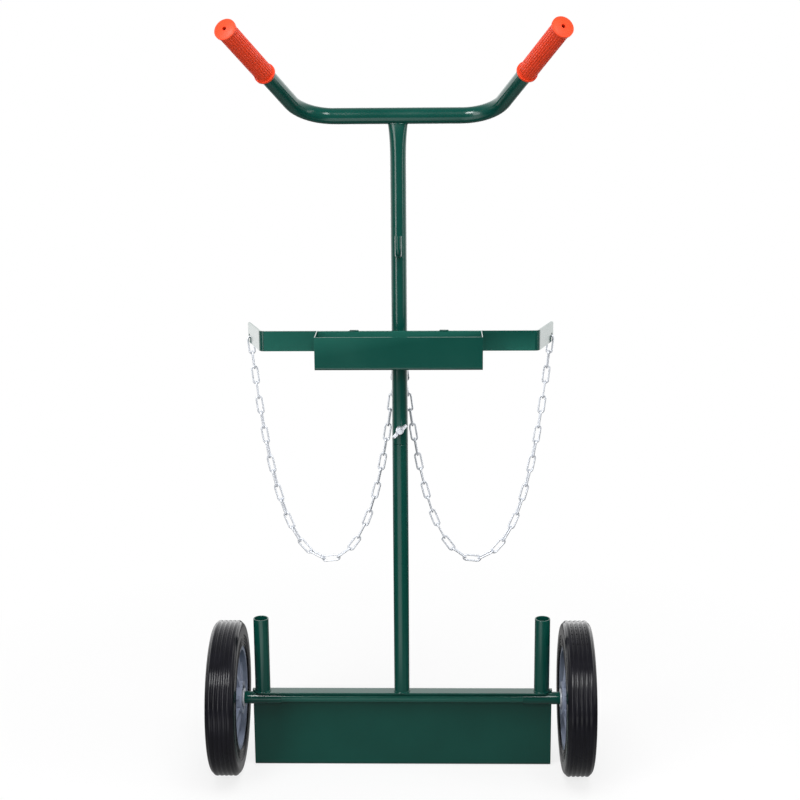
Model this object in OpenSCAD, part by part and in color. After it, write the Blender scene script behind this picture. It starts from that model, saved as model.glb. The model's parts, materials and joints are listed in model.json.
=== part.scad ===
// Two-cylinder gas trolley. A bent sheet shoe on two wheels carries a tube mast in two
// lengths, a handlebar with grips, a flat crossbar with a tool tray, hooks and two chains.
// Millimetres. +Z is up, +Y points to the toe plate, -Y to the operator. The origin is on
// the floor, midway between the wheels and midway between the toe's edge and the grips.

/* [Wheels] */
// Outer diameter of the tyres
wheel_d = 254; // [220:1:300]
// Width of a tyre
tyre_w = 47; // [42:1:60]
// Diameter on the rim where the tyre seats
rim_d = 170; // [150:1:190]
// Width of the rim's barrel
rim_w = 42; // [30:1:42]
// Thickness of the rim's barrel
barrel_t = 7; // [4:0.5:12]
// Diameter of the hub boss
hub_d = 54; // [46:1:70]
// Wall of the hub round the recess in its inner end
hub_wall = 7; // [4:0.5:7]
// Depth of that recess
recess_l = 6; // [2:0.5:10]
// Reach of the hub from the wheel's middle plane towards the mast
hub_in = 24.5; // [16:0.5:36]
// Reach of the hub from the wheel's middle plane outwards
hub_out = 14; // [8:0.5:24]
// Thickness of the rim's web and of its ribs
web_t = 6; // [3:0.5:10]
// Number of ribs on each side of the web
rib_count = 8; // [5:1:12]
// Number of raised ribs round the tread
tread_ribs = 5; // [3:2:7]
// Depth of the grooves in the tread
groove_depth = 1.4; // [0.8:0.1:2]
// Width of the ribbed tread
tread_w = 37; // [30:1:38]
// Radius of the tyre's shoulders
shoulder_r = 9; // [5:0.5:12]

/* [Axle] */
// Diameter of the axle rod
axle_d = 16; // [12:0.5:20]
// Wall of the two sleeves that hold the axle
sleeve_t = 2.2; // [1.5:0.1:4]
// Length of a sleeve
sleeve_l = 61; // [40:1:120]
// Reach of a sleeve past the end of the shoe
sleeve_over = 12.5; // [6:0.5:30]
// Wall of the bush in each hub
bush_t = 3; // [2:0.5:5]
// Diameter of the axle washers
washer_d = 30; // [24:1:40]
// Thickness of the axle washers
washer_t = 2; // [1:0.5:4]
// Diameter of the split pins
pin_d = 4; // [2.5:0.5:5]
// Reach of the axle past its outer washers
axle_end = 7.5; // [7:0.5:16]

/* [Shoe] */
// Width of the bent sheet shoe
base_w = 497; // [420:1:600]
// Reach of the toe plate in front of the back panel
toe_d = 205; // [140:1:300]
// Depth of the top flange, behind the panel's front face
flange_d = 26; // [24:1:40]
// Thickness of the sheet
sheet_t = 3; // [2:0.5:5]
// Inside radius of the two bends
fold_r = 3; // [1:0.5:6]
// Cut across the flange's free corners, along the flange
flange_cut_x = 11; // [4:1:18]
// Cut across the flange's free corners, across the flange
flange_cut_y = 15; // [4:1:18]
// Radius of the toe plate's free corners
toe_corner_r = 18; // [6:1:40]

/* [Mast] */
// Diameter of the mast, handlebar and rod holder tubes
tube_d = 25; // [22:0.5:30]
// Wall of those tubes
tube_t = 2; // [1.5:0.1:3]
// Height of the seam between the two lengths of mast
joint_z = 564; // [420:1:640]
// Length of the spigot inside the seam
spigot_l = 140; // [100:1:200]
// Diameter of the mast bolt
bolt_d = 8; // [6:0.5:10]
// Height of the bolt above the seam
bolt_rise = 25; // [15:1:45]
// Width of the mast's flattened top end
pinch_w = 32; // [28:0.5:36]
// Length of the mast's flattened top end
pinch_l = 72; // [50:1:120]

/* [Rod holders] */
// Height of the two rod holders
holder_h = 126.5; // [80:0.5:200]
// Distance from the shoe's end to a holder's axis
holder_inset = 17.7; // [17:0.1:40]

/* [Handlebar] */
// Height of the straight tube's axis
bar_z = 1078; // [960:1:1200]
// Distance from the middle to the corner where the legs' axes meet the straight tube's
bar_corner = 144; // [120:1:200]
// Radius of the bends at the tube's axis
bar_bend_r = 67; // [50:1:90]
// Angle of the bends
bar_bend = 71; // [50:1:85]
// Rise of the bent legs' plane above the horizontal
bar_tilt = 31; // [10:1:50]
// Length of a leg from the corner to the tube's end
leg_l = 263; // [230:1:320]

/* [Grips] */
// Length of a grip
grip_l = 130; // [100:1:150]
// Wall of a grip over the tube
grip_t = 1.7; // [1.4:0.1:4]
// Diameter of the lips at a grip's ends
lip_d = 32; // [30:0.5:40]
// Thickness of the lips
lip_t = 3; // [2:0.5:5]
// Diameter of the vent hole in a grip's end
vent_d = 6; // [3:0.5:8]
// Number of grooves along a grip
flute_count = 24; // [12:1:28]
// Depth of those grooves
flute_depth = 0.8; // [0.3:0.1:0.9]
// Radius of those grooves
flute_r = 1.5; // [1:0.1:1.6]
// Rise of the domed end of a grip
cap_dome = 2; // [1:0.5:3]

/* [Crossbar] */
// Height of the crossbar's top edge
cross_top = 749; // [660:1:850]
// Height of the flat bar
cross_h = 32; // [24:1:50]
// Thickness of the flat bar
cross_t = 3; // [2:0.5:4]
// Distance from the middle to the corner where an arm starts
cross_corner = 216.6; // [180:0.1:260]
// Length of an arm from that corner
arm_l = 85; // [60:1:120]
// Angle of the bend at the corner
arm_bend = 71; // [50:1:85]
// Inside radius of the bend
arm_fold_r = 6; // [3:0.5:12]
// Distance from an arm's end to its chain hole
chain_hole_in = 9; // [8:0.5:20]
// Distance of the chain hole below the bar's middle
chain_hole_drop = 5; // [3:0.5:8]

/* [Tool tray] */
// Width of the tray
tray_w = 258; // [160:1:360]
// Depth of the tray
tray_d = 52; // [36:1:90]
// Height of the tray
tray_h = 52; // [36:1:80]
// Thickness of the tray's sheet
tray_t = 1.5; // [1:0.1:2.5]

/* [Hooks] */
// Diameter of the hose hook's rod
hose_rod_d = 10; // [6:0.5:12]
// Height of the hose hook's foot
hose_z = 869; // [820:1:960]
// Clear space between the mast and the hose hook
hose_gap = 19; // [12:0.5:40]
// Height of the hose hook from its foot's axis to its tip
hose_h = 31; // [24:1:60]
// Height of the chain hooks' feet
hook_z = 686; // [640:1:690]
// Distance of each chain hook from the mast's middle plane
hook_x = 6.5; // [6:0.1:9]
// Reach of the chain hooks from the mast's face
hook_reach = 15; // [12:0.5:30]
// Height of the chain hooks from their foot's axis to their tips
hook_h = 14; // [10:0.5:30]

/* [Chains] */
// Diameter of the chain's wire
wire_d = 3; // [2.5:0.1:3.5]
// Inside length of a link
link_l = 25.3; // [22:0.1:28]
// Inside width of a link
link_w = 6; // [5.5:0.1:8]
// Number of links in each chain
link_count = 31; // [29:2:37]

/* [Hidden] */
$fn = 64;
// Facets and slice height of the mast's flattened top end
pinch_fn = 32;
slice_h = 0.5;

// Clearances
run_fit = 0.05;
slip_fit = 0.15;
weld_gap = 0.05;
side_gap = 0.3;
link_gap = 0.3;
hang_gap = 0.6;
// More room where a chain swings from its end link
swing_gap = 0.4;
// Loss at each face where bending draws a tube or bar thinner, and how far the straights run into a bend
draw_thin = 0.1;
lap = 0.2;

// Wheels and axle along X, measured from the middle
sleeve_end = base_w / 2 + sleeve_over;
wheel_x = sleeve_end + washer_t + 2 * side_gap + hub_in;
outer_washer_x = wheel_x + hub_out + side_gap;
axle_half = outer_washer_x + washer_t + axle_end;
pin_x = outer_washer_x + washer_t + pin_d / 2 + side_gap;
wheel_r = wheel_d / 2;
rim_r = rim_d / 2;
bush_r = axle_d / 2 + bush_t;
sleeve_r = axle_d / 2 + slip_fit + sleeve_t;

// Heights of the shoe
shoe_h = wheel_r + sleeve_r + weld_gap + sheet_t;
tube_r = tube_d / 2;
bore_r = tube_r - tube_t;

// Depths, first from the axle's plane, then from the origin
panel_back = sleeve_r + weld_gap;
panel_front = panel_back + sheet_t;
leg_dir = [cos(bar_bend), -sin(bar_bend) * cos(bar_tilt), sin(bar_bend) * sin(bar_tilt)];
grip_end = leg_l + lip_t;
rear_reach = -grip_end * leg_dir.y + lip_d / 2 * sqrt(1 - leg_dir.y * leg_dir.y);
axle_y = (rear_reach - panel_front - toe_d) / 2;
cross_y = -tube_r - weld_gap - cross_t / 2;
tray_back = cross_y - cross_t / 2;
cross_mid = cross_top - cross_h / 2;

// Flattened length of the mast, up to the handlebar's underside
pinch_top = bar_z - tube_r;
pinch_start = pinch_top - pinch_l;

// Hooks: room between a hook and a link's sides, and bend radius in rod diameters
rod_room = 1;
bend_share = 1.2;
hose_bend_r = hose_rod_d * bend_share;
chain_rod_d = link_w - 2 * rod_room;
hook_bend_r = chain_rod_d * bend_share;
hose_y = -tube_r - hose_gap - hose_rod_d / 2;
hook_y = tube_r + hook_reach;

// Chain: the bend radius of a link at its wire's axis, and where the chain hangs
turn_r = (link_w + wire_d) / 2;
last = link_count - 1;
hole_room = 2;
hole_d = wire_d + 2 * hole_room;
arm_dir = [cos(arm_bend), sin(arm_bend)];
hole_at = [cross_corner, cross_y] + (arm_l - chain_hole_in) * arm_dir;
// The wire's axis where the chain hangs in its arm, a little above the hole's edge, and on its hook
edge_room = 1;
hang_out = [hole_at.x, hole_at.y, cross_mid - chain_hole_drop - hole_d / 2 + wire_d / 2 + edge_room];
hang_in = [hook_x, hook_y - hook_bend_r - wire_d, hook_z + chain_rod_d / 2 + wire_d / 2 + hang_gap];
chain_run = [hang_in.x - hang_out.x, hang_in.y - hang_out.y];
chain_span = norm(chain_run);
chain_fall = hang_in.z - hang_out.z;
chain_turn = atan2(chain_run.y, chain_run.x);

// A hanging chain is in balance when the tangent of its slope grows by equal steps.
// Odd links stand across the chain's plane and even links lie in it; seat is the play of a
// wire in its neighbour's bend.
function slope(i, k, m) = atan((i - m) / k);
function core(i) = (i == 0 || i == last ? 1 : i % 2 == 0 ? 0 : 2) * turn_r + link_l + wire_d - 2 * turn_r;
function seat(i) = (link_w - wire_d) / 2 - link_gap - (i == 0 ? swing_gap : 0);
function total(v) = v * [for (x = v) 1];
function along(a) = [cos(a), sin(a)];
function chain_end(k, m) = [
    total([for (i = [0 : last]) core(i) * cos(slope(i, k, m))])
        + total([for (i = [0 : last - 1]) seat(i) * cos(slope(i + 0.5, k, m))]),
    total([for (i = [0 : last]) core(i) * sin(slope(i, k, m))])
        + total([for (i = [0 : last - 1]) seat(i) * sin(slope(i + 0.5, k, m))])
];
function find_m(k, lo, hi, steps) = let (mid = (lo + hi) / 2)
    steps == 0 ? mid
    : chain_end(k, mid).y > chain_fall ? find_m(k, mid, hi, steps - 1) : find_m(k, lo, mid, steps - 1);
function find_k(lo, hi, steps) = let (mid = (lo + hi) / 2)
    steps == 0 ? mid
    : chain_end(mid, find_m(mid, 0, last, 24)).x < chain_span ? find_k(mid, hi, steps - 1)
    : find_k(lo, mid, steps - 1);
sag_k = find_k(0.05, link_count, 24);
sag_m = find_m(sag_k, 0, last, 30);
// Start point of each link's core in the chain's own plane
link_start = [for (i = 0, p = [0, 0]; i <= last;
    p = p + core(i) * along(slope(i, sag_k, sag_m)) + seat(i) * along(slope(i + 0.5, sag_k, sag_m)),
    i = i + 1) p];
// The first links turn until the end link lies square through its arm
arm_normal = arm_bend - 90;
twist_links = 6;
arm_twist = chain_turn - arm_normal - 180 * round((chain_turn - arm_normal) / 180);

green = [0.05, 0.29, 0.24];
orange = [0.93, 0.30, 0.17];
zinc = [0.80, 0.81, 0.82];
black = [0.10, 0.10, 0.11];
grey = [0.47, 0.51, 0.58];

// Shared shapes

// Everything is drawn from the axle's plane and moved to the origin here
module placed(side = 1) {
    translate([0, axle_y, 0]) scale_side(side) children();
}

// Right-hand pieces are drawn, left-hand ones are their mirror images
module scale_side(side) {
    if (side < 0) mirror([1, 0, 0]) children();
    else children();
}

module rod_x(r, from, to) {
    translate([from, 0, 0]) rotate([0, 90, 0]) cylinder(r = r, h = to - from);
}

module ring(outer, inner, h) {
    difference() {
        cylinder(r = outer, h = h);
        translate([0, 0, -1]) cylinder(r = inner, h = h + 2);
    }
}

module ring_x(outer, inner, from, to) {
    translate([from, 0, 0]) rotate([0, 90, 0]) ring(outer, inner, to - from);
}

module rounded_rect(w, h, r) {
    translate([0, r]) square([w, h - 2 * r]);
    translate([r, 0]) square([w - 2 * r, h]);
    for (x = [r, w - r], y = [r, h - r]) translate([x, y]) circle(r);
}

// Quarter of a flat ring in the quadrant of +X and +Y
module quarter_ring(inner, t) {
    difference() {
        intersection() {
            circle(inner + t);
            square(inner + t);
        }
        circle(inner);
    }
}

// Rod that leaves the mast along +Y at height 0, turns up and ends at the given tip
module j_rod(d, bend_r, y, tip) {
    rotate([-90, 0, 0]) cylinder(d = d, h = y - bend_r);
    translate([0, y - bend_r, bend_r]) rotate([0, 90, 0])
        rotate_extrude(angle = 90) translate([bend_r, 0]) circle(d = d);
    translate([0, y, bend_r]) cylinder(d = d, h = tip - bend_r);
}

// Base and axle

module shoe_profile() {
    fold_out = fold_r + sheet_t;
    // Toe plate, in profile: first axis forward, second up
    translate([panel_back + fold_out, 0]) square([toe_d + sheet_t - fold_out, sheet_t]);
    translate([panel_back + fold_out, fold_out]) rotate(180) quarter_ring(fold_r, sheet_t);
    translate([panel_back, fold_out]) square([sheet_t, shoe_h - 2 * fold_out]);
    translate([panel_front - fold_out, shoe_h - fold_out]) quarter_ring(fold_r, sheet_t);
    translate([panel_front - flange_d, shoe_h - sheet_t]) square([flange_d - fold_out, sheet_t]);
}

module shoe_outline_cuts() {
    for (s = [-1, 1]) {
        // Free corners of the flange
        translate([0, 0, shoe_h - sheet_t - 1]) linear_extrude(sheet_t + 2)
            polygon([[s * (base_w / 2 + 1), panel_front - flange_d - 1],
                [s * (base_w / 2 - flange_cut_x), panel_front - flange_d - 1],
                [s * (base_w / 2 - flange_cut_x), panel_front - flange_d],
                [s * base_w / 2, panel_front - flange_d + flange_cut_y],
                [s * (base_w / 2 + 1), panel_front - flange_d + flange_cut_y]]);
        // Free corners of the toe plate
        translate([s * (base_w / 2 - toe_corner_r), panel_front + toe_d - toe_corner_r, -1])
            linear_extrude(sheet_t + 2) difference() {
                translate([s > 0 ? 0 : -toe_corner_r - 1, 0]) square(toe_corner_r + 1);
                circle(toe_corner_r);
            }
    }
}

module base_shoe() {
    color(green) placed() difference() {
        translate([-base_w / 2, 0, 0]) rotate([90, 0, 90]) linear_extrude(base_w) shoe_profile();
        shoe_outline_cuts();
    }
}

module axle_sleeve(side) {
    color(green) placed(side) translate([0, 0, wheel_r])
        ring_x(sleeve_r, axle_d / 2 + slip_fit, sleeve_end - sleeve_l, sleeve_end);
}
module axle_sleeve_left() { axle_sleeve(-1); }
module axle_sleeve_right() { axle_sleeve(1); }

module axle() {
    color(green) placed() translate([0, 0, wheel_r]) difference() {
        rod_x(axle_d / 2, -axle_half, axle_half);
        for (s = [-1, 1]) translate([s * pin_x, 0, -axle_d])
            cylinder(d = pin_d + 2 * slip_fit, h = 2 * axle_d);
    }
}

module axle_washers() {
    color(zinc) for (s = [-1, 1]) placed(s) translate([0, 0, wheel_r])
        for (x = [sleeve_end + side_gap, outer_washer_x])
            ring_x(washer_d / 2, axle_d / 2 + slip_fit, x, x + washer_t);
}

module split_pins() {
    // The legs reach past the axle above and below, and the eye is bent from thinner wire
    leg_up = axle_d * 0.8;
    leg_down = axle_d;
    eye_r = pin_d;
    eye_wire = pin_d * 0.6;
    color(zinc) for (s = [-1, 1]) placed(s) translate([pin_x, 0, wheel_r]) {
        translate([0, 0, -leg_down]) cylinder(d = pin_d, h = leg_down + leg_up);
        translate([0, 0, leg_up + eye_r]) rotate([0, 90, 0])
            rotate_extrude() translate([eye_r, 0]) circle(d = eye_wire);
    }
}

// Wheels

// Section of a tyre: first axis outwards from the axle, second along it
module tyre_profile() {
    seat_r = rim_r + run_fit;
    crown_r = wheel_r - groove_depth;
    // Round-topped tread ribs with a narrow flat between them
    rib_pitch = tread_w / tread_ribs;
    groove_w = 0.8;
    half_w = (rib_pitch - groove_w) / 2;
    rib_r = (half_w * half_w + groove_depth * groove_depth) / (2 * groove_depth);
    // The side walls step in over this share of their height and carry raised rings there
    step_share = 0.45;
    step_t = 1.2;
    step_h = (crown_r - seat_r) * step_share;
    ring_count = 3;
    ring_w = 1.4;
    ring_pitch = step_h / (ring_count + 1);
    difference() {
        union() {
            translate([seat_r - shoulder_r, -tyre_w / 2])
                rounded_rect(crown_r - seat_r + shoulder_r, tyre_w, shoulder_r);
            for (i = [0 : tread_ribs - 1])
                translate([wheel_r - rib_r, (i + 0.5 - tread_ribs / 2) * rib_pitch]) circle(rib_r);
        }
        translate([seat_r - shoulder_r - 1, -tyre_w]) square([shoulder_r + 1, 2 * tyre_w]);
        for (s = [-1, 1]) translate([seat_r - 1, s > 0 ? tyre_w / 2 - step_t : -tyre_w / 2 - 1])
            square([step_h + 1, step_t + 1]);
    }
    for (s = [-1, 1], i = [1 : ring_count]) translate([seat_r + i * ring_pitch - ring_w / 2,
            s > 0 ? tyre_w / 2 - step_t - 1 : -tyre_w / 2]) square([ring_w, step_t + 1]);
}

module tyre(side) {
    color(black) placed(side) translate([wheel_x, 0, wheel_r]) rotate([0, 90, 0])
        rotate_extrude() tyre_profile();
}
module tyre_left() { tyre(-1); }
module tyre_right() { tyre(1); }

module rim(side) {
    inside_r = rim_r - barrel_t;
    recess_r = hub_d / 2 - hub_wall;
    // The ribs stop short of the hub's ends and the barrel's edges, and run a little into both
    hub_short = 3;
    barrel_short = 7;
    run_in = 1;
    color(grey) placed(side) translate([wheel_x, 0, wheel_r]) difference() {
        union() {
            ring_x(rim_r, inside_r, -rim_w / 2, rim_w / 2);
            rod_x(hub_d / 2, -hub_in, hub_out);
            rod_x(inside_r + run_in, -web_t / 2, web_t / 2);
            for (i = [0 : rib_count - 1]) rotate([360 / rib_count * (i + 0.5), 0, 0])
                translate([0, web_t / 2, 0]) rotate([90, 0, 0]) linear_extrude(web_t)
                    polygon([[hub_short - hub_in, hub_d / 2 - run_in],
                        [hub_out - hub_short, hub_d / 2 - run_in],
                        [rim_w / 2 - barrel_short, inside_r + run_in],
                        [barrel_short - rim_w / 2, inside_r + run_in]]);
        }
        rod_x(bush_r + run_fit, -hub_in - 1, hub_out + 1);
        // Recess round the bush's inner end
        rod_x(recess_r, -hub_in - 1, recess_l - hub_in);
    }
}
module rim_left() { rim(-1); }
module rim_right() { rim(1); }

module hub_bush(side) {
    color(zinc) placed(side) translate([wheel_x, 0, wheel_r])
        ring_x(bush_r, axle_d / 2 + run_fit, -hub_in, hub_out);
}
module hub_bush_left() { hub_bush(-1); }
module hub_bush_right() { hub_bush(1); }

// Posts and mast

module rod_holder(side) {
    color(green) placed(side) translate([base_w / 2 - holder_inset, 0, shoe_h])
        ring(tube_r, bore_r, holder_h);
}
module rod_holder_left() { rod_holder(-1); }
module rod_holder_right() { rod_holder(1); }

module lower_mast() {
    color(green) placed() translate([0, 0, shoe_h]) ring(tube_r, bore_r, joint_z - shoe_h);
}

module bolt_hole() {
    translate([0, -2 * tube_d, joint_z + bolt_rise]) rotate([-90, 0, 0])
        cylinder(d = bolt_d + 2 * slip_fit, h = 4 * tube_d);
}

module mast_spigot() {
    color(green) placed() difference() {
        translate([0, 0, joint_z - spigot_l / 2])
            ring(bore_r - slip_fit, bore_r - slip_fit - tube_t, spigot_l);
        bolt_hole();
    }
}

// Slice of the flattened tube: as wide as asked, with the tube's own girth
module pinch_slice(w, inset, z) {
    thick = (PI * tube_d - 2 * w) / (PI - 2);
    for (s = [-1, 1]) translate([s * (w - thick) / 2, 0, z])
        cylinder(d = thick - 2 * inset, h = slice_h, $fn = pinch_fn);
}

// The pinched length starts inside the round tube's wall
module pinched_end(inset) {
    // A third of the widening comes over the first three quarters
    middle = pinch_top - pinch_l / 4;
    middle_w = (tube_d * 2 + pinch_w) / 3;
    run_in = 2;
    hull() {
        translate([0, 0, pinch_start - run_in])
            cylinder(r = tube_r - draw_thin - inset, h = slice_h, $fn = pinch_fn);
        pinch_slice(middle_w, inset, middle);
    }
    hull() {
        pinch_slice(middle_w, inset, middle);
        pinch_slice(pinch_w, inset, pinch_top + tube_r / 2);
    }
}

module upper_mast() {
    color(green) placed() difference() {
        union() {
            translate([0, 0, joint_z + side_gap]) cylinder(r = tube_r, h = pinch_start - joint_z - side_gap);
            pinched_end(0);
        }
        translate([0, 0, joint_z - 1]) cylinder(r = bore_r, h = pinch_start - joint_z + 1);
        pinched_end(tube_t);
        bolt_hole();
        // Saddle under the handlebar
        translate([0, 0, bar_z]) rod_x(tube_r + weld_gap, -pinch_w, pinch_w);
    }
}

module mast_bolt() {
    head_h = bolt_d * 0.66;
    head_d = bolt_d * 1.88;
    tail = tube_r + bolt_d * 1.45;
    color(zinc) placed() translate([0, 0, joint_z + bolt_rise]) {
        rotate([90, 0, 0]) translate([0, 0, -tube_r - weld_gap]) cylinder(d = bolt_d, h = tube_r + tail);
        translate([0, tube_r + weld_gap, 0]) rotate([-90, 30, 0]) cylinder(d = head_d, h = head_h, $fn = 6);
    }
}

module wing_nut() {
    hub_r = bolt_d * 0.8;
    top_r = hub_r * 0.84;
    nut_h = bolt_d * 1.15;
    skirt_h = nut_h * 0.6;
    wing_t = bolt_d * 0.5;
    wing_turn = 44;
    // Each wing is a blade that rises from inside the hub to a round lobe
    root = hub_r * 0.7;
    foot = 1;
    lobe_r = bolt_d * 0.62;
    lobe_at = [bolt_d * 1.24, bolt_d * 1.3];
    low_tip = [bolt_d * 1.8, bolt_d * 1.05];
    high_tip = [bolt_d * 0.95, bolt_d * 1.85];
    color(zinc) placed() translate([0, -tube_r - side_gap, joint_z + bolt_rise])
        rotate([90, 0, 0]) difference() {
        union() {
            cylinder(r = hub_r, h = skirt_h);
            translate([0, 0, skirt_h]) cylinder(r1 = hub_r, r2 = top_r, h = nut_h - skirt_h);
            rotate([0, 0, wing_turn]) for (a = [0, 180]) rotate([90, 0, a])
                translate([0, 0, -wing_t / 2]) linear_extrude(wing_t) {
                    translate(lobe_at) circle(lobe_r);
                    polygon([[root, foot], [hub_r, foot], low_tip, high_tip, [root, nut_h]]);
                }
        }
        translate([0, 0, -1]) cylinder(r = bolt_d / 2 + run_fit, h = 3 * bolt_d);
    }
}

// Handlebar and grips

// One bend of the handlebar
module bar_turn(r) {
    rotate([0, 0, -90]) rotate_extrude(angle = bar_bend) translate([bar_bend_r, 0]) circle(r - draw_thin);
}

// The bent tube in its own plane, straight part along X and the legs towards +Y
module bent_tube() {
    tangent = bar_bend_r * tan(bar_bend / 2);
    ring_x(tube_r, bore_r, tangent - lap - bar_corner, bar_corner - tangent + lap);
    for (turn = [0, 180]) rotate([0, turn, 0]) {
        translate([bar_corner - tangent, bar_bend_r, 0]) difference() {
            bar_turn(tube_r);
            bar_turn(bore_r);
        }
        translate([bar_corner, 0, 0]) rotate([0, 0, bar_bend])
            ring_x(tube_r, bore_r, tangent - lap, leg_l);
    }
}

module in_bar_plane() {
    translate([0, 0, bar_z]) rotate([180 - bar_tilt, 0, 0]) children();
}

module handlebar() {
    color(green) placed() in_bar_plane() bent_tube();
}

// Section of a grip: first axis outwards from the tube's axis, second along it
module grip_profile(body_r) {
    lip_r = lip_d / 2;
    // The domed end rises inside a narrow flat edge
    cap_edge = 1;
    dome_half = lip_r - cap_edge;
    dome_r = (dome_half * dome_half + cap_dome * cap_dome) / (2 * cap_dome);
    cap_start = grip_end - lip_t / 2;
    difference() {
        union() {
            translate([0, grip_end - grip_l]) square([body_r, grip_l]);
            for (z = [grip_end - grip_l, grip_end - lip_t]) translate([0, z]) square([lip_r, lip_t]);
            intersection() {
                translate([0, grip_end + cap_dome - dome_r]) circle(dome_r);
                translate([0, cap_start]) square([lip_r - cap_edge / 2, lip_t / 2 + 2 * cap_dome]);
            }
        }
        translate([-1, 0]) square([tube_r + run_fit + 1, leg_l + weld_gap]);
        translate([-1, 0]) square([vent_d / 2 + 1, 2 * grip_end]);
    }
}

module grip(side) {
    body_r = tube_r + run_fit + grip_t;
    flute_from = grip_end - grip_l + 2 * lip_t;
    flute_to = grip_end - 2 * lip_t;
    color(orange) placed(side) in_bar_plane() translate([bar_corner, 0, 0])
        rotate([0, 0, bar_bend]) difference() {
            rotate([0, 90, 0]) rotate_extrude() grip_profile(body_r);
            for (i = [0 : flute_count - 1]) rotate([360 / flute_count * i, 0, 0])
                translate([0, body_r + flute_r - flute_depth, 0]) rod_x(flute_r, flute_from, flute_to);
        }
}
module grip_left() { grip(-1); }
module grip_right() { grip(1); }

// Crossbar, tray and hooks

module crossbar() {
    fold = arm_fold_r + cross_t / 2;
    tangent = fold * tan(arm_bend / 2);
    corner_r = 5;
    color(green) placed() difference() {
        translate([0, 0, cross_top - cross_h]) {
            translate([tangent - lap - cross_corner, cross_y - cross_t / 2, 0])
                cube([2 * (cross_corner - tangent + lap), cross_t, cross_h]);
            for (s = [-1, 1]) scale_side(s) {
                translate([cross_corner - tangent, cross_y + fold, 0]) rotate([0, 0, -90])
                    rotate_extrude(angle = arm_bend) translate([arm_fold_r + draw_thin, 0])
                        square([cross_t - 2 * draw_thin, cross_h]);
                translate([cross_corner, cross_y, 0]) rotate([0, 0, arm_bend])
                    translate([tangent - lap, -cross_t / 2, 0])
                        cube([arm_l - tangent + lap, cross_t, cross_h]);
            }
        }
        for (s = [-1, 1]) scale_side(s)
            translate([cross_corner, cross_y, cross_mid]) rotate([0, 0, arm_bend]) {
            translate([arm_l - chain_hole_in, -cross_t, -chain_hole_drop]) rotate([-90, 0, 0])
                cylinder(d = hole_d, h = 2 * cross_t);
            // Rounded corners at the arm's end
            for (up = [0, 1]) mirror([0, 0, up])
                translate([arm_l - corner_r, cross_t, cross_h / 2 - corner_r]) rotate([90, 0, 0])
                    linear_extrude(2 * cross_t) difference() {
                        square(corner_r + 1);
                        circle(corner_r);
                    }
        }
    }
}

module tool_tray() {
    fold = 2 * tray_t;
    out = fold + tray_t;
    color(green) placed() translate([0, tray_back, cross_top - tray_h]) {
        // Front, bottom and back in one folded strip
        translate([-tray_w / 2, 0, 0]) rotate([90, 0, 90]) linear_extrude(tray_w) {
            for (y = [-tray_d, -tray_t]) translate([y, out]) square([tray_t, tray_h - out]);
            translate([-tray_d + out, 0]) square([tray_d - 2 * out, tray_t]);
            translate([-tray_d + out, out]) rotate(180) quarter_ring(fold, tray_t);
            translate([-out, out]) rotate(270) quarter_ring(fold, tray_t);
        }
        // End plates between the folds
        for (x = [-tray_w / 2, tray_w / 2 - tray_t]) translate([x, 0, 0])
            rotate([90, 0, 90]) linear_extrude(tray_t) {
                translate([-tray_d, out]) square([tray_d, tray_h - out]);
                intersection() {
                    translate([-tray_d, 0]) rounded_rect(tray_d, tray_h, out);
                    translate([-tray_d, 0]) square([tray_d, out]);
                }
            }
    }
}

module mast_cut(z) {
    translate([0, 0, z - 2 * tube_d]) cylinder(r = tube_r + weld_gap, h = 4 * tube_d);
}

module hose_hook() {
    color(green) placed() difference() {
        translate([0, 0, hose_z]) rotate([0, 0, 180]) j_rod(hose_rod_d, hose_bend_r, -hose_y, hose_h);
        mast_cut(hose_z);
    }
}

module chain_hooks() {
    color(green) placed() difference() {
        for (s = [-1, 1]) translate([s * hook_x, 0, hook_z]) j_rod(chain_rod_d, hook_bend_r, hook_y, hook_h);
        mast_cut(hook_z);
    }
}

// Chains

// One welded link, its length along X and its loop in the plane of X and Y
module link() {
    straight = link_l + wire_d - 2 * turn_r;
    for (s = [-1, 1]) {
        translate([0, s * turn_r, 0]) rod_x(wire_d / 2, -straight / 2, straight / 2);
        translate([s * straight / 2, 0, 0]) rotate([0, 0, -90 * s])
            rotate_extrude(angle = 180) translate([turn_r, 0]) circle(d = wire_d);
    }
}

// A link's middle, from its core's start: end links have one plain and one seated end
function link_mid(i) = link_start[i] + along(slope(i, sag_k, sag_m))
    * (i == 0 ? (link_l + wire_d) / 2 : i == last ? (link_l + wire_d) / 2 - turn_r : core(i) / 2);
function link_roll(i) = (i % 2 == 0 ? 90 : 0) + arm_twist * max(0, 1 - i / twist_links);

module links(side, from, to) {
    color(zinc) placed(side) translate(hang_out) rotate([0, 0, chain_turn])
        for (i = [from : to]) translate([link_mid(i).x, 0, link_mid(i).y])
            rotate([0, -slope(i, sag_k, sag_m), 0]) rotate([link_roll(i), 0, 0]) link();
}

// The first link of each chain stays in its arm, the others swing from it and from the hook
module chain_end_links() {
    for (s = [-1, 1]) links(s, 0, 0);
}
module chain_left() { links(-1, 1, last); }
module chain_right() { links(1, 1, last); }

base_shoe();
axle_sleeve_left();
axle_sleeve_right();
axle();
axle_washers();
split_pins();
rod_holder_left();
rod_holder_right();
lower_mast();
mast_spigot();
upper_mast();
mast_bolt();
wing_nut();
handlebar();
grip_left();
grip_right();
hose_hook();
crossbar();
tool_tray();
chain_hooks();
chain_end_links();
chain_left();
chain_right();
rim_left();
rim_right();
tyre_left();
tyre_right();
hub_bush_left();
hub_bush_right();
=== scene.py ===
import json
import math

import bpy
from mathutils import Matrix, Vector


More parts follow.
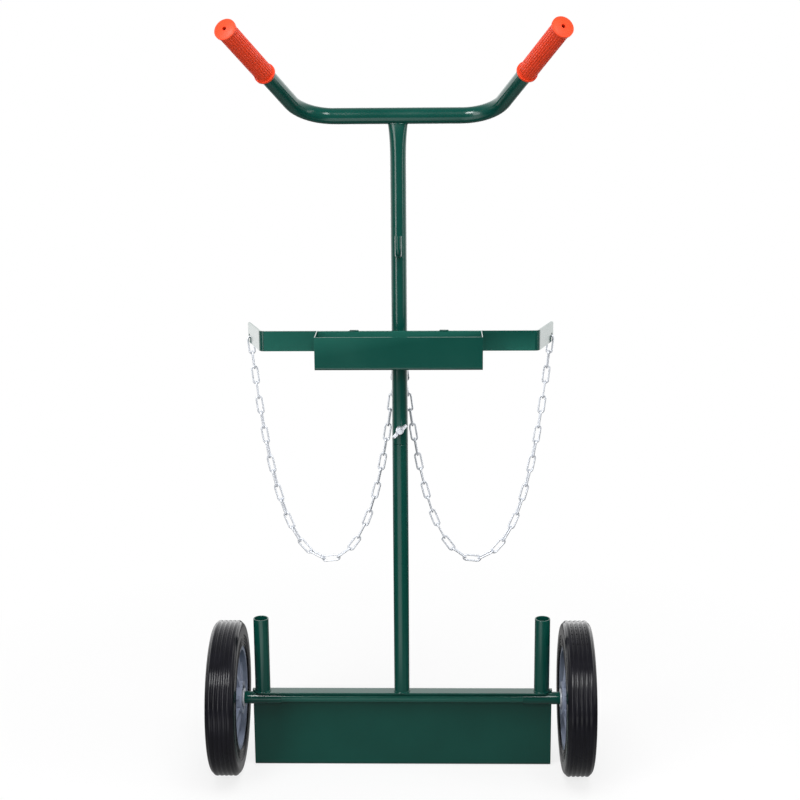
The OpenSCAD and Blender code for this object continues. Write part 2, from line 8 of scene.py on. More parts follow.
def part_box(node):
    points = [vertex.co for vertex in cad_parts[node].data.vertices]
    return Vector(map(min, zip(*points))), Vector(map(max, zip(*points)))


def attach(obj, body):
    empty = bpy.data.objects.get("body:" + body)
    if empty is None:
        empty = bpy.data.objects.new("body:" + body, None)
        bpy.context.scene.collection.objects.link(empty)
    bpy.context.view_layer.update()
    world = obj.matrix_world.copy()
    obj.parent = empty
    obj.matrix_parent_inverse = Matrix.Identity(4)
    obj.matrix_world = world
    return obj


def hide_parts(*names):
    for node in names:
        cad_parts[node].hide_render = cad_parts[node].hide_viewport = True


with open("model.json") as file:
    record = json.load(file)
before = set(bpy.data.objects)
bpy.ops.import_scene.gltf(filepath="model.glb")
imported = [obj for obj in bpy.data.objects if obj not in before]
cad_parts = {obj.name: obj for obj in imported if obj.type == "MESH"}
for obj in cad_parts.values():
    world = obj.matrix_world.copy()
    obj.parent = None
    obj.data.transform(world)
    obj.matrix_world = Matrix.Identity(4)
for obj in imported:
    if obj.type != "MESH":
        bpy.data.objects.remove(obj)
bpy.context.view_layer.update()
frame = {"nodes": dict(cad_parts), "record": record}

nodes = frame["nodes"]
mm = 0.001
print("frame loaded,", len(nodes), "CAD nodes")


# small helpers

# the Mix node's sockets share their names, so they go by number
mixShare, levelA, levelB, colourA, colourB = 0, 2, 3, 6, 7
mixedLevel, mixedColour = 0, 2


def linear(hexText):
    parts = [int(hexText[i:i + 2], 16) / 255 for i in (0, 2, 4)]
    return tuple(c / 12.92 if c <= 0.04045 else ((c + 0.055) / 1.055) ** 2.4 for c in parts) + (1.0,)


def perMetre(sizeMm):
    return 1 / (sizeMm * mm)  # noise scale for a feature of that size


def addNode(tree, kind, settings=None, links=None):
    node = tree.nodes.new(kind)
    for key, value in (settings or {}).items():
        if isinstance(key, int) or key in node.inputs:
            node.inputs[key].default_value = value
        else:
            setattr(node, key, value)
    for key, source in (links or {}).items():
        tree.links.new(source, node.inputs[key])
    return node


def newMaterial(name, settings):
    material = bpy.data.materials.new(name)
    material.use_nodes = True
    tree = material.node_tree
    tree.nodes.clear()
    shader = addNode(tree, "ShaderNodeBsdfPrincipled", settings)
    addNode(tree, "ShaderNodeOutputMaterial", None, {"Surface": shader.outputs["BSDF"]})
    place = addNode(tree, "ShaderNodeTexCoord").outputs["Object"]
    return material, tree, shader, place


def pickOnly(piece):
    bpy.ops.object.select_all(action="DESELECT")
    piece.select_set(True)
    bpy.context.view_layer.objects.active = piece


def applyAll(piece):
    pickOnly(piece)
    for modifier in list(piece.modifiers):
        bpy.ops.object.modifier_apply(modifier=modifier.name)


# materials; each fine grain is drawn coarser than the real one, so that it shows

noiseSpan = {"From Min": 0.3, "From Max": 0.7}  # most of a noise's values lie in here


def addFinish(tree, shader, place, look):
    # cloudy colour, uneven gloss and a fine relief
    patches = addNode(tree, "ShaderNodeTexNoise", {
        "Scale": perMetre(look["patchMm"]), "Detail": look["patchDetail"]}, {"Vector": place})
    grain = addNode(tree, "ShaderNodeTexNoise", {
        "Scale": perMetre(look["grainMm"]), "Detail": look["grainDetail"]}, {"Vector": place})
    colour = addNode(tree, "ShaderNodeMix", {
        "data_type": "RGBA", colourA: linear(look["dark"]), colourB: linear(look["light"])},
        {mixShare: patches.outputs["Fac"]})
    uneven = grain if look["glossByGrain"] else patches
    gloss = addNode(tree, "ShaderNodeMapRange", {**noiseSpan, **look["roughness"]},
                    {"Value": uneven.outputs["Fac"]})
    bump = addNode(tree, "ShaderNodeBump", look["relief"], {"Height": grain.outputs["Fac"]})
    tree.links.new(colour.outputs[mixedColour], shader.inputs["Base Color"])
    tree.links.new(gloss.outputs["Result"], shader.inputs["Roughness"])
    tree.links.new(bump.outputs["Normal"], shader.inputs["Normal"])
    return colour.outputs[mixedColour]


def tintTurns(tree, shader, colour, tint, span):
    # another colour where the surface turns sharply: high pointiness is an edge, low is a groove; in the
    # grip's flutes this colour is painted shade
    shape = addNode(tree, "ShaderNodeNewGeometry")
    turn = addNode(tree, "ShaderNodeMapRange", span, {"Value": shape.outputs["Pointiness"]})
    mixed = addNode(tree, "ShaderNodeMix", {"data_type": "RGBA", colourB: linear(tint)},
                    {mixShare: turn.outputs["Result"], colourA: colour})
    tree.links.new(mixed.outputs[mixedColour], shader.inputs["Base Color"])


# Gloss alkyd enamel sprayed on steel: deep green, faint orange peel, thin and paler on sharp edges
greenEnamel = {
    "dark": "063931", "light": "08433a", "patchMm": 90, "patchDetail": 3.0,
    "grainMm": 6, "grainDetail": 1.0, "relief": {"Strength": 0.05, "Distance": 0.2 * mm},
    "roughness": {"To Min": 0.14, "To Max": 0.22}, "glossByGrain": False,
    "surface": {"IOR": 1.5, "Specular IOR Level": 0.35},
    "edge": "2a6b5e", "edgeSpan": {"From Min": 0.56, "From Max": 0.68, "To Min": 0.0, "To Max": 0.6},
}


def makeGreenEnamel():
    material, tree, shader, place = newMaterial("glossGreenEnamel", greenEnamel["surface"])
    colour = addFinish(tree, shader, place, greenEnamel)
    tintTurns(tree, shader, colour, greenEnamel["edge"], greenEnamel["edgeSpan"])
    return material


# Bright zinc electroplate: silvery with a cool cast, a cloudy gloss and a pale bloom that scatters light
brightZinc = {
    "dark": "c0c4cb", "light": "e2e5ea", "patchMm": 6, "patchDetail": 4.0,
    "grainMm": 0.6, "grainDetail": 2.0, "relief": {"Strength": 0.04, "Distance": 0.1 * mm},
    "roughness": {"To Min": 0.36, "To Max": 0.52}, "glossByGrain": False,
    "surface": {"Metallic": 0.6},
}


def makeBrightZinc():
    material, tree, shader, place = newMaterial("brightZincPlate", brightZinc["surface"])
    addFinish(tree, shader, place, brightZinc)
    return material


# Solid moulded rubber: near black, with a soft shine and bloom patches
tyreRubber = {
    "dark": "0d0d10", "light": "1a1a20", "patchMm": 25, "patchDetail": 5.0,
    "grainMm": 0.9, "grainDetail": 2.0, "relief": {"Strength": 0.03, "Distance": 0.15 * mm},
    "roughness": {"To Min": 0.16, "To Max": 0.24}, "glossByGrain": False,
    "surface": {"IOR": 1.52, "Specular IOR Level": 0.15},
}


def makeTyreRubber():
    material, tree, shader, place = newMaterial("mouldedBlackRubber", tyreRubber["surface"])
    addFinish(tree, shader, place, tyreRubber)
    return material


# Moulded polypropylene: grey-blue, satin, with a fine spark-eroded grain
rimPlastic = {
    "dark": "7b8396", "light": "8a92a5", "patchMm": 40, "patchDetail": 3.0,
    "grainMm": 0.7, "grainDetail": 2.0, "relief": {"Strength": 0.08, "Distance": 0.05 * mm},
    "roughness": {"To Min": 0.4, "To Max": 0.52}, "glossByGrain": True,
    "surface": {"IOR": 1.49},
}


def makeRimPlastic():
    material, tree, shader, place = newMaterial("greyBluePolypropylene", rimPlastic["surface"])
    addFinish(tree, shader, place, rimPlastic)
    return material


# Dip-moulded soft vinyl: orange-red and satin, with a shallow swell, and painted shade that darkens its
# flutes a little
gripVinyl = {
    "dark": "dc3c18", "light": "e8431c", "patchMm": 18, "patchDetail": 3.0,
    "grainMm": 8, "grainDetail": 2.0, "relief": {"Strength": 0.08, "Distance": 0.05 * mm},
    "roughness": {"To Min": 0.44, "To Max": 0.56}, "glossByGrain": True,
    "surface": {"IOR": 1.53, "Specular IOR Level": 0.3},
    # the darker red below is painted shade for the flutes, where pointiness is low
    "paintedFluteShade": "8e1c06", "paintedFluteShadeSpan": {"From Min": 0.42, "From Max": 0.5, "To Min": 0.12, "To Max": 0.0},
}


def makeGripVinyl():
    material, tree, shader, place = newMaterial("orangeRedVinyl", gripVinyl["surface"])
    colour = addFinish(tree, shader, place, gripVinyl)
    # painted shade: a darker red where pointiness is low, in the flutes
    tintTurns(tree, shader, colour, gripVinyl["paintedFluteShade"], gripVinyl["paintedFluteShadeSpan"])
    return material


finishes = {
    "green_paint": makeGreenEnamel(),
    "zinc_plate": makeBrightZinc(),
    "tyre_rubber": makeTyreRubber(),
    "rim_plastic": makeRimPlastic(),
    "grip_plastic": makeGripVinyl(),
}
slotOf = {part["node"]: part["material_slot"] for part in frame["record"]["subparts"]}
for node, slotName in slotOf.items():
    nodes[node].data.materials.clear()
    nodes[node].data.materials.append(finishes[slotName])
print("materials made,", len(finishes))


# pieces

bodies = frame["record"]["behaviour"]["bodies"]
bodyOf = {node: body for body, names in bodies.items() for node in names}


def boxOf(node):
    low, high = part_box(node)
    return Vector(low), Vector(high)


def middleOf(node):
    low, high = boxOf(node)
    return (low + high) / 2


def widthOf(node):
    low, high = boxOf(node)
    return high.x - low.x


def finishPiece(piece, slotName, body, replaced=None, smoothDeg=40, weighted=False):
    pickOnly(piece)
    bpy.ops.object.transform_apply(location=True, rotation=True, scale=True)
    bpy.ops.object.mode_set(mode="EDIT")
    bpy.ops.mesh.select_all(action="SELECT")
    bpy.ops.mesh.normals_make_consistent(inside=False)
    bpy.ops.object.mode_set(mode="OBJECT")
    bpy.ops.object.shade_smooth_by_angle(angle=math.radians(smoothDeg))
    if weighted:
        flat = piece.modifiers.new("flatFaces", "WEIGHTED_NORMAL")
        flat.keep_sharp = True
        applyAll(piece)
    piece.data.materials.clear()
    piece.data.materials.append(finishes[slotName])
    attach(piece, body)
    if replaced:
        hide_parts(replaced)


# a CAD node's loose triangles become one skin, and its flat faces one face each
copySettings = {"mergeMm": 0.004, "flatDeg": 0.3}


def mergedCopy(node, name):
    source = nodes[node]
    piece = bpy.data.objects.new(name, source.data.copy())
    bpy.context.scene.collection.objects.link(piece)
    piece.matrix_world = source.matrix_world
    pickOnly(piece)
    bpy.ops.object.transform_apply(location=True, rotation=True, scale=True)
    bpy.ops.object.mode_set(mode="EDIT")
    bpy.ops.mesh.select_all(action="SELECT")
    bpy.ops.mesh.remove_doubles(threshold=copySettings["mergeMm"] * mm)
    bpy.ops.mesh.dissolve_limited(angle_limit=math.radians(copySettings["flatDeg"]))
    bpy.ops.object.mode_set(mode="OBJECT")
    return piece


# sheet, bar, tube ends and mouldings have small edge radii that the CAD leaves sharp
edgeSettings = {"segments": 3, "sharpDeg": 35}
softEdges = [
    {"node": "base_shoe", "name": "shoeSheet", "edgeMm": 0.6},
    {"node": "crossbar", "name": "crossbarFlat", "edgeMm": 0.6},
    {"node": "tool_tray", "name": "traySheet", "edgeMm": 0.3},
    {"node": "wing_nut", "name": "wingNutCasting", "edgeMm": 0.7},
    {"node": "rim_left", "name": "rimMouldingLeft", "edgeMm": 1.0},
    {"node": "rim_right", "name": "rimMouldingRight", "edgeMm": 1.0},
    {"node": "lower_mast", "name": "lowerMastTube", "edgeMm": 0.5},
    {"node": "rod_holder_left", "name": "holderTubeLeft", "edgeMm": 0.5},
    {"node": "rod_holder_right", "name": "holderTubeRight", "edgeMm": 0.5},
    {"node": "axle_sleeve_left", "name": "sleeveTubeLeft", "edgeMm": 0.4},
    {"node": "axle_sleeve_right", "name": "sleeveTubeRight", "edgeMm": 0.4},
    {"node": "grip_left", "name": "gripSleeveLeft", "edgeMm": 0.35},
    {"node": "grip_right", "name": "gripSleeveRight", "edgeMm": 0.35},
]


def softenEdges():
    for item in softEdges:
        piece = mergedCopy(item["node"], item["name"])
        bevel = piece.modifiers.new("edgeRadius", "BEVEL")
        bevel.width = item["edgeMm"] * mm
        bevel.segments = edgeSettings["segments"]
        bevel.limit_method = "ANGLE"
        bevel.angle_limit = math.radians(edgeSettings["sharpDeg"])
        applyAll(piece)
        finishPiece(piece, slotOf[item["node"]], bodyOf[item["node"]], item["node"], weighted=True)


# the mast's top end, drawn out flat front to back under the handlebar
mastTop = {"sides": 64, "pinchMm": 72, "steps": 14, "hold": 3.2, "edgeMm": 0.5}


def flattenedDepth(tube, wide):
    return (math.pi * tube - 2 * wide) / (math.pi - 2)  # the tube's girth stays the same


def makeUpperMast():
    low, high = boxOf("upper_mast")
    tube = widthOf("lower_mast")
    wide = widthOf("upper_mast")
    middle = middleOf("lower_mast")
    edge = mastTop["edgeMm"] * mm
    bpy.ops.object.select_all(action="DESELECT")
    bpy.ops.mesh.primitive_circle_add(vertices=mastTop["sides"], radius=tube / 2 - edge,
                                      location=(0, middle.y, low.z))
    piece = bpy.context.active_object
    piece.name = "upperMastTube"
    bpy.ops.object.transform_apply(location=True, rotation=True, scale=True)
    bpy.ops.object.mode_set(mode="EDIT")
    bpy.ops.mesh.select_all(action="SELECT")
    bpy.ops.mesh.edge_face_add()
    # the sawn lower end has a small chamfer, which shows as the seam
    bpy.ops.mesh.extrude_region_move(TRANSFORM_OT_translate={"value": (0, 0, edge)})
    grow = tube / (tube - 2 * edge)
    bpy.ops.transform.resize(value=(grow, grow, 1), center_override=(0, middle.y, low.z + edge))
    startZ = high.z - mastTop["pinchMm"] * mm
    bpy.ops.mesh.extrude_region_move(TRANSFORM_OT_translate={"value": (0, 0, startZ - low.z - edge)})
    width = deep = tube
    rise = mastTop["pinchMm"] * mm / mastTop["steps"]
    for step in range(1, mastTop["steps"] + 1):
        share = step / mastTop["steps"]
        nextWidth = tube + (wide - tube) * share ** mastTop["hold"]
        nextDeep = flattenedDepth(tube, nextWidth)
        bpy.ops.mesh.extrude_region_move(TRANSFORM_OT_translate={"value": (0, 0, rise)})
        bpy.ops.transform.resize(value=(nextWidth / width, nextDeep / deep, 1),
                                 center_override=(0, middle.y, startZ + rise * step))
        width, deep = nextWidth, nextDeep
    bpy.ops.object.mode_set(mode="OBJECT")
    finishPiece(piece, "green_paint", "frame", "upper_mast")


# a weld bead round a tube or rod: a ring with ripples
ringWeld = {"beadMm": 2.0, "ripples": 26, "perRipple": 4, "rippleMm": 0.4, "sides": 10, "smoothDeg": 80}


def rippleRing(name, centre, ringRadius, beadShare=1, turn=(0, 0, 0), stretch=(1, 1, 1)):
    sides = ringWeld["sides"]
    perRipple = ringWeld["perRipple"]
    bead = ringWeld["beadMm"] * mm * beadShare
    bpy.ops.object.select_all(action="DESELECT")
    bpy.ops.mesh.primitive_torus_add(
        location=centre, rotation=turn, major_radius=ringRadius, minor_radius=bead,
        major_segments=ringWeld["ripples"] * perRipple, minor_segments=sides)
    ring = bpy.context.active_object
    ring.name = name
    ring.scale = stretch
    for vertex in ring.data.vertices:
        vertex.select = (vertex.index // sides) % perRipple == 0
    bpy.ops.object.mode_set(mode="EDIT")
    bpy.ops.mesh.select_mode(type="VERT")
    bpy.ops.transform.shrink_fatten(value=-ringWeld["rippleMm"] * mm)
    bpy.ops.object.mode_set(mode="OBJECT")
    finishPiece(ring, "green_paint", "frame", smoothDeg=ringWeld["smoothDeg"])


# a short straight weld: a row of overlapping drops
rowWeld = {"dropMm": 2.2, "step": 0.55, "squash": 0.8, "sides": 16, "rings": 10, "smoothDeg": 80}


def dropRow(name, start, end, dropMm=rowWeld["dropMm"]):
    size = dropMm * mm
    way = Vector(end) - Vector(start)
    step = size * rowWeld["step"]
    bpy.ops.object.select_all(action="DESELECT")
    bpy.ops.mesh.primitive_uv_sphere_add(segments=rowWeld["sides"], ring_count=rowWeld["rings"], radius=size)
    row = bpy.context.active_object
    row.name = name
    bpy.ops.transform.resize(value=(rowWeld["squash"], 1, 1))
    bpy.ops.object.transform_apply(location=True, rotation=True, scale=True)
    drops = row.modifiers.new("row", "ARRAY")
    drops.use_relative_offset = False
    drops.use_constant_offset = True
    drops.constant_offset_displace = (step, 0, 0)
    drops.count = max(2, round(way.length / step) + 1)
    applyAll(row)
    row.rotation_euler = way.to_track_quat("X", "Z").to_euler()
    row.location = start
    finishPiece(row, "green_paint", "frame", smoothDeg=rowWeld["smoothDeg"])


def weldTubeFeet():
    for node, name in (("rod_holder_left", "holderWeldLeft"), ("rod_holder_right", "holderWeldRight"),
                       ("lower_mast", "mastFootWeld")):
        middle = middleOf(node)
        rippleRing(name, (middle.x, middle.y, boxOf(node)[0].z), widthOf(node) / 2)


# where the flattened mast meets the handlebar; the drop is a share of the tube below the bar's middle
saddleWeld = {"bead": 0.8, "drop": 0.46}


def weldSaddle():
    tube = widthOf("lower_mast")
    wide = widthOf("upper_mast")
    deep = flattenedDepth(tube, wide)
    ring = (wide + deep) / 4
    height = boxOf("handlebar")[0].z + tube / 2 - tube * saddleWeld["drop"]
    rippleRing("saddleWeld", (0, middleOf("lower_mast").y, height), ring, saddleWeld["bead"],
               stretch=(wide / 2 / ring, deep / 2 / ring, 1))


# feet of the hose hook on the back of the mast and of the chain hooks on its front
rodWelds = {"bead": 0.6, "chainRodMm": 4}


def weldRods():
    hookRod = widthOf("hose_hook")
    chainRod = rodWelds["chainRodMm"] * mm
    apart = boxOf("chain_hooks")[1].x - chainRod / 2
    reach = widthOf("lower_mast") / 2
    for name, node, x, rod, y in (("hoseHookWeld0", "hose_hook", 0, hookRod, -reach),
                                  ("chainHookWeld0", "chain_hooks", -apart, chainRod, reach),
                                  ("chainHookWeld1", "chain_hooks", apart, chainRod, reach)):
        foot = (x, middleOf("lower_mast").y + y, boxOf(node)[0].z + rod / 2)
        rippleRing(name, foot, rod / 2, rodWelds["bead"], turn=(math.pi / 2, 0, 0))


# sleeves under the flange, crossbar on the mast, tray on the crossbar; barAcross is a share of the tube
sheetWelds = {"shoeMm": 3, "sleeveEndMm": 12, "sleeveBackMm": 5, "sleeveUnderMm": 1.2,
              "barAcross": 0.36, "barAheadMm": 4.5, "barEndMm": 3,
              "tackAcrossMm": 70, "tackHalfMm": 6, "tackDropMm": 1.8}


def weldSheets():
    under = boxOf("base_shoe")[1].z - (sheetWelds["shoeMm"] + sheetWelds["sleeveUnderMm"]) * mm
    inset = sheetWelds["sleeveEndMm"] * mm
    for node, name in (("axle_sleeve_left", "sleeveWeldLeft"), ("axle_sleeve_right", "sleeveWeldRight")):
        low, high = boxOf(node)
        y = middleOf(node).y - sheetWelds["sleeveBackMm"] * mm
        dropRow(name, (low.x + inset, y, under), (high.x - inset, y, under))
    barLow, barHigh = boxOf("crossbar")
    trayBack = boxOf("tool_tray")[1].y
    barWeldY = trayBack + sheetWelds["barAheadMm"] * mm
    barEnd = sheetWelds["barEndMm"] * mm
    half = sheetWelds["tackHalfMm"] * mm
    for side in (-1, 1):
        x = side * widthOf("lower_mast") * sheetWelds["barAcross"]
        dropRow("crossbarWeld" + str(side + 1), (x, barWeldY, barLow.z + barEnd),
                (x, barWeldY, barHigh.z - barEnd))
        x = side * sheetWelds["tackAcrossMm"] * mm
        dropRow("trayTack" + str(side + 1), (x - half, trayBack, barHigh.z), (x + half, trayBack, barHigh.z),
                sheetWelds["tackDropMm"])


# vent pits in the tread's grooves, seen over one length of the right tyre
treadPits = {"columns": 4, "columnMm": 7.4, "rows": 6, "rowDeg": 5.5, "firstDeg": -4, "radiusMm": 1.5,
             "depthMm": 1.4, "sides": 16, "rings": 10, "smoothDeg": 35}


def makeTreadPits():
    piece = mergedCopy("tyre_right", "tyreTreadRight")
    low, high = boxOf("tyre_right")
    middle = middleOf("tyre_right")
    reach = (high.z - low.z) / 2 - treadPits["depthMm"] * mm
    balls = []
    for row in range(treadPits["rows"]):
        angle = math.radians(treadPits["firstDeg"] + row * treadPits["rowDeg"])
        y = middle.y - reach * math.sin(angle)
        z = middle.z + reach * math.cos(angle)
        for column in range(treadPits["columns"]):
            across = (column - (treadPits["columns"] - 1) / 2) * treadPits["columnMm"] * mm
            bpy.ops.mesh.primitive_uv_sphere_add(
                segments=treadPits["sides"], ring_count=treadPits["rings"], radius=treadPits["radiusMm"] * mm,
                location=(middle.x + across, y, z))
            balls.append(bpy.context.active_object)
    bpy.ops.object.select_all(action="DESELECT")
    for ball in balls:
        ball.select_set(True)
    bpy.context.view_layer.objects.active = balls[0]
    bpy.ops.object.join()
    cutter = bpy.context.active_object
    cut = piece.modifiers.new("pits", "BOOLEAN")
    cut.object = cutter
    cut.operation = "DIFFERENCE"
    applyAll(piece)
    bpy.data.objects.remove(cutter)
    finishPiece(piece, "tyre_rubber", "wheel_right", "tyre_right",
                smoothDeg=treadPits["smoothDeg"], weighted=True)


softenEdges()
print("edges softened,", len(softEdges), "pieces")
makeUpperMast()
weldTubeFeet()
weldSaddle()
weldRods()
weldSheets()
makeTreadPits()
print("mast top, welds and tread pits made")


# stage: white floor and surroundings, dark behind the camera as in a studio, soft lamps

# what gloss sees by direction: dark room in front, bright backdrop behind, dimmer ceiling
roomGlow = {"front": 0.1, "back": 2.0, "darkUntil": -0.35, "brightFrom": 0.6,
            "ceiling": 0.35, "ceilingFrom": 0.3, "ceilingFull": 0.8}


def addRoomGlow(tree, toward):
    parts = addNode(tree, "ShaderNodeSeparateXYZ", None, {0: toward})
    glow = addNode(tree, "ShaderNodeMapRange", {
        "From Min": roomGlow["darkUntil"], "From Max": roomGlow["brightFrom"],
        "To Min": roomGlow["front"], "To Max": roomGlow["back"]}, {"Value": parts.outputs["Y"]})
    height = addNode(tree, "ShaderNodeMapRange", {
        "From Min": roomGlow["ceilingFrom"], "From Max": roomGlow["ceilingFull"],
        "To Min": 1.0, "To Max": roomGlow["ceiling"]}, {"Value": parts.outputs["Z"]})
    sheen = addNode(tree, "ShaderNodeMath", {"operation": "MULTIPLY"},
                    {0: glow.outputs["Result"], 1: height.outputs["Result"]})
    return sheen.outputs[0]


# the lit paper in front of the trolley that the upright tubes reflect: a wedge, angles in radians
litPaper = {"turn": -0.31, "full": 0.3, "gone": 0.62, "start": (0.38, 0.55), "end": (2.1, 2.6), "glow": 2.0}


def addLitPaper(tree, place, away):
    parts = addNode(tree, "ShaderNodeSeparateXYZ", None, {0: place})
    ahead = addNode(tree, "ShaderNodeMath", {"operation": "MULTIPLY", 1: -1.0}, {0: parts.outputs["Y"]})
    turn = addNode(tree, "ShaderNodeMath", {"operation": "ARCTAN2"},
                   {0: parts.outputs["X"], 1: ahead.outputs[0]})
    off = addNode(tree, "ShaderNodeMath", {"operation": "SUBTRACT", 1: litPaper["turn"]},
                  {0: turn.outputs[0]})
    wide = addNode(tree, "ShaderNodeMath", {"operation": "ABSOLUTE"}, {0: off.outputs[0]})
    level = addNode(tree, "ShaderNodeMapRange", {
        "From Min": litPaper["full"], "From Max": litPaper["gone"],
        "To Min": litPaper["glow"], "To Max": 0.0}, {"Value": wide.outputs[0]})
    for edge, first, last in (("start", 0.0, 1.0), ("end", 1.0, 0.0)):
        low, high = litPaper[edge]
        fade = addNode(tree, "ShaderNodeMapRange", {
            "From Min": low, "From Max": high, "To Min": first, "To Max": last}, {"Value": away})
        level = addNode(tree, "ShaderNodeMath", {"operation": "MULTIPLY"},
                        {0: level.outputs[0], 1: fade.outputs["Result"]})
    return level.outputs[0]


# distances in metres from the trolley's middle; bounce is the paper's tone for light that it sends on,
# and the shift puts the middle of the sweep behind the trolley
paperFloor = {"size": 30.0, "underMm": 0.5, "paper": (0.8, 0.8, 0.8, 1), "bounce": (0.3, 0.3, 0.3, 1),
              "shadowNear": 0.35, "shadowFar": 1.1, "shadowShare": 0.22,
              "sweepShift": (0, -0.5, 0), "sweepNear": 1.3, "sweepFar": 3.0,
              "sweepDim": 0.1, "sweepBright": 1.3, "nearGlow": 0.33, "nearFull": 0.4, "nearGone": 0.8}


def addFloorSheen(tree, place, away):
    # gloss sees a glow close to the trolley, the lit paper in front and the bright sweep far behind
    shifted = addNode(tree, "ShaderNodeVectorMath", {"operation": "ADD", 1: paperFloor["sweepShift"]},
                      {0: place})
    toward = addNode(tree, "ShaderNodeVectorMath", {"operation": "NORMALIZE"}, {0: shifted.outputs["Vector"]})
    far = addNode(tree, "ShaderNodeMapRange", {
        "From Min": paperFloor["sweepNear"], "From Max": paperFloor["sweepFar"],
        "To Min": paperFloor["sweepDim"], "To Max": paperFloor["sweepBright"]}, {"Value": away})
    near = addNode(tree, "ShaderNodeMapRange", {
        "From Min": paperFloor["nearFull"], "From Max": paperFloor["nearGone"],
        "To Min": paperFloor["nearGlow"], "To Max": 0.0}, {"Value": away})
    sweep = addNode(tree, "ShaderNodeMath", {"operation": "MULTIPLY_ADD"},
                    {0: addRoomGlow(tree, toward.outputs["Vector"]), 1: far.outputs["Result"],
                     2: near.outputs["Result"]})
    sheen = addNode(tree, "ShaderNodeMath", {"operation": "ADD"},
                    {0: sweep.outputs[0], 1: addLitPaper(tree, place, away)})
    return sheen.outputs[0]


def makeFloor():
    bpy.ops.object.select_all(action="DESELECT")
    bpy.ops.mesh.primitive_plane_add(size=paperFloor["size"], location=(0, 0, -paperFloor["underMm"] * mm))
    floor = bpy.context.active_object
    floor.name = "studioFloor"
    material = bpy.data.materials.new("whitePaperFloor")
    material.use_nodes = True
    tree = material.node_tree
    tree.nodes.clear()
    ray = addNode(tree, "ShaderNodeLightPath")
    place = addNode(tree, "ShaderNodeTexCoord").outputs["Object"]
    away = addNode(tree, "ShaderNodeVectorMath", {"operation": "LENGTH"}, {0: place}).outputs["Value"]
    # the paper sends on less light than it shows, so that undersides stay dark
    tone = addNode(tree, "ShaderNodeMix", {
        "data_type": "RGBA", colourA: paperFloor["paper"], colourB: paperFloor["bounce"]},
        {mixShare: ray.outputs["Is Diffuse Ray"]})
    paper = addNode(tree, "ShaderNodeBsdfDiffuse", None, {"Color": tone.outputs[mixedColour]})
    # to the camera the shadow shows near the trolley and fades out to plain white
    share = addNode(tree, "ShaderNodeMapRange", {
        "From Min": paperFloor["shadowNear"], "From Max": paperFloor["shadowFar"],
        "To Min": 1 - paperFloor["shadowShare"], "To Max": 1.0}, {"Value": away})
    level = addNode(tree, "ShaderNodeMix", {levelA: 1.0},
                    {mixShare: ray.outputs["Is Glossy Ray"], levelB: addFloorSheen(tree, place, away)})
    white = addNode(tree, "ShaderNodeEmission", None, {"Strength": level.outputs[mixedLevel]})
    seen = addNode(tree, "ShaderNodeMath", {"operation": "MULTIPLY_ADD"},
                   {0: share.outputs["Result"], 1: ray.outputs["Is Camera Ray"],
                    2: ray.outputs["Is Glossy Ray"]})
    both = addNode(tree, "ShaderNodeMixShader", None,
                   {0: seen.outputs[0], 1: paper.outputs[0], 2: white.outputs[0]})
    addNode(tree, "ShaderNodeOutputMaterial", None, {"Surface": both.outputs[0]})
    floor.data.materials.append(material)
    material.cycles.emission_sampling = "NONE"  # the floor only looks bright, so it is no lamp


surroundings = {"fill": 0.25, "white": (1, 1, 1, 1)}


def makeSurroundings():
    world = bpy.data.worlds.new("studio")
    bpy.context.scene.world = world
    world.use_nodes = True
    world.cycles.sampling_method = "NONE"  # gloss then sees its own surroundings only
    tree = world.node_tree
    tree.nodes.clear()
    ray = addNode(tree, "ShaderNodeLightPath")
    toward = addNode(tree, "ShaderNodeTexCoord")
    sheen = addRoomGlow(tree, toward.outputs["Generated"])
    soft = addNode(tree, "ShaderNodeMix", {levelA: surroundings["fill"]},
                   {mixShare: ray.outputs["Is Glossy Ray"], levelB: sheen})
    # plain white to the camera
    plain = addNode(tree, "ShaderNodeMath", {"operation": "MAXIMUM"},
                    {0: ray.outputs["Is Camera Ray"], 1: ray.outputs["Is Transmission Ray"]})
    level = addNode(tree, "ShaderNodeMix", {levelB: 1.0},
                    {mixShare: plain.outputs[0], levelA: soft.outputs[mixedLevel]})
    back = addNode(tree, "ShaderNodeBackground", {"Color": surroundings["white"]},
                   {"Strength": level.outputs[mixedLevel]})
    addNode(tree, "ShaderNodeOutputWorld", None, {"Surface": back.outputs[0]})


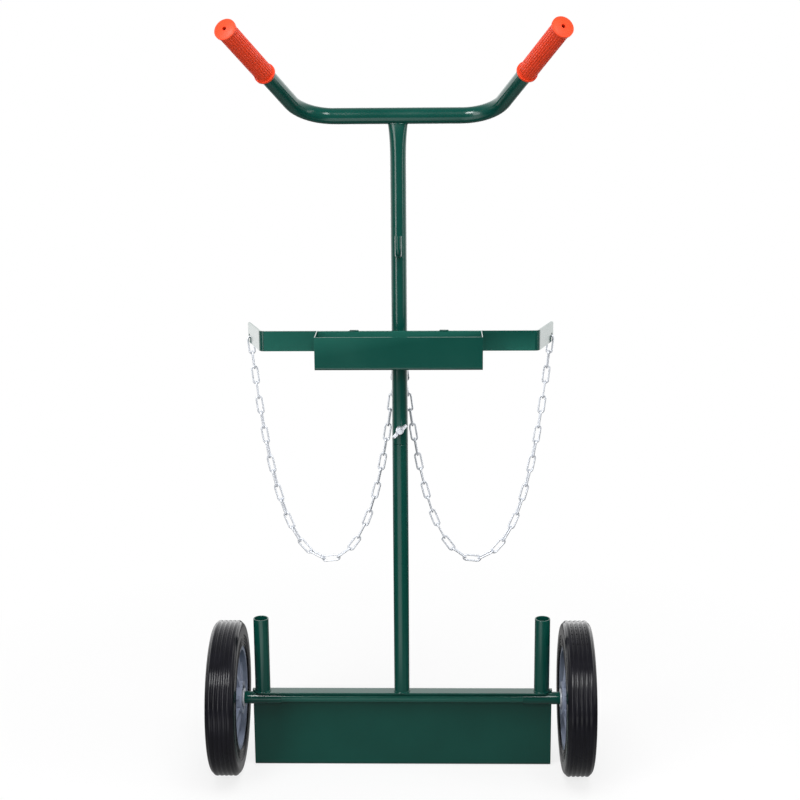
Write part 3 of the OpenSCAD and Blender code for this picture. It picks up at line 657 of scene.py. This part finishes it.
# the streak lamps show in gloss only: the tyres mirror them, and the bar's straight length looks between them
lamps = [
    {"name": "softLeft", "place": (-1.5, -1.9, 1.2), "aim": (0, 0, 0.6), "size": (0.8, 2.0),
     "watts": 34, "gloss": True, "diffuse": True},
    {"name": "softRight", "place": (1.9, -1.4, 1.1), "aim": (0, 0, 0.6), "size": (1.6, 2.2),
     "watts": 12, "gloss": False, "diffuse": True},
    {"name": "topSoft", "place": (0, -1.2, 3.0), "aim": (0, 0, 0.5), "size": (2.4, 1.4),
     "watts": 66, "gloss": False, "diffuse": True},
    {"name": "glintRight", "place": (2.1, -0.9, 1.2), "aim": (0, 0, 0.6), "size": (0.4, 1.8),
     "watts": 10, "gloss": True, "diffuse": True},
    {"name": "frontFill", "place": (0.3, -2.7, 1.9), "aim": (0, 0, 0.7), "size": (0.6, 0.6),
     "watts": 15, "gloss": False, "diffuse": True},
    {"name": "streakLeft", "place": (-0.95, -2.0, 2.5), "aim": (-0.95, 0, 0.3), "size": (1.0, 0.9),
     "watts": 75, "gloss": True, "diffuse": False},
    {"name": "streakRight", "place": (0.75, -2.0, 2.5), "aim": (0.75, 0, 0.3), "size": (0.7, 0.9),
     "watts": 32, "gloss": True, "diffuse": False},
    {"name": "backSoft", "place": (0.4, 2.4, 1.8), "aim": (0, 0, 0.5), "size": (1.8, 1.8),
     "watts": 26, "gloss": False, "diffuse": True},
]


def makeLamps():
    for lamp in lamps:
        light = bpy.data.lights.new(lamp["name"], "AREA")
        light.shape = "RECTANGLE"
        light.size, light.size_y = lamp["size"]
        light.energy = lamp["watts"]
        holder = bpy.data.objects.new(lamp["name"], light)
        bpy.context.scene.collection.objects.link(holder)
        holder.visible_glossy = lamp["gloss"]
        holder.visible_diffuse = lamp["diffuse"]
        holder.location = lamp["place"]
        shine = Vector(lamp["aim"]) - Vector(lamp["place"])
        holder.rotation_euler = shine.to_track_quat("-Z", "Y").to_euler()


# fitted to the photograph's outlines; angles in radians, lens for that frame width
cameraView = {"place": (0.056, -2.3893, 1.2064), "yaw": -0.0233, "pitch": 0.2345, "roll": -0.0073,
              "lens": 69.93, "frameMm": 36}


def makeCamera():
    yaw, pitch, roll = (cameraView[k] for k in ("yaw", "pitch", "roll"))
    ahead = Vector((math.sin(yaw) * math.cos(pitch), math.cos(yaw) * math.cos(pitch), -math.sin(pitch)))
    right = Vector((math.cos(yaw), -math.sin(yaw), 0))
    up = right.cross(ahead)
    rightTurned = math.cos(roll) * right + math.sin(roll) * up
    upTurned = -math.sin(roll) * right + math.cos(roll) * up
    turn = Matrix((rightTurned, upTurned, -ahead)).transposed()
    camera = bpy.data.cameras.new("photoCamera")
    camera.lens = cameraView["lens"]
    camera.sensor_width = cameraView["frameMm"]
    holder = bpy.data.objects.new("photoCamera", camera)
    bpy.context.scene.collection.objects.link(holder)
    holder.matrix_world = Matrix.Translation(cameraView["place"]) @ turn.to_4x4()
    bpy.context.scene.camera = holder


makeFloor()
makeSurroundings()
makeLamps()
makeCamera()
bpy.context.scene.view_settings.view_transform = "Standard"
print("stage, lamps and camera set")
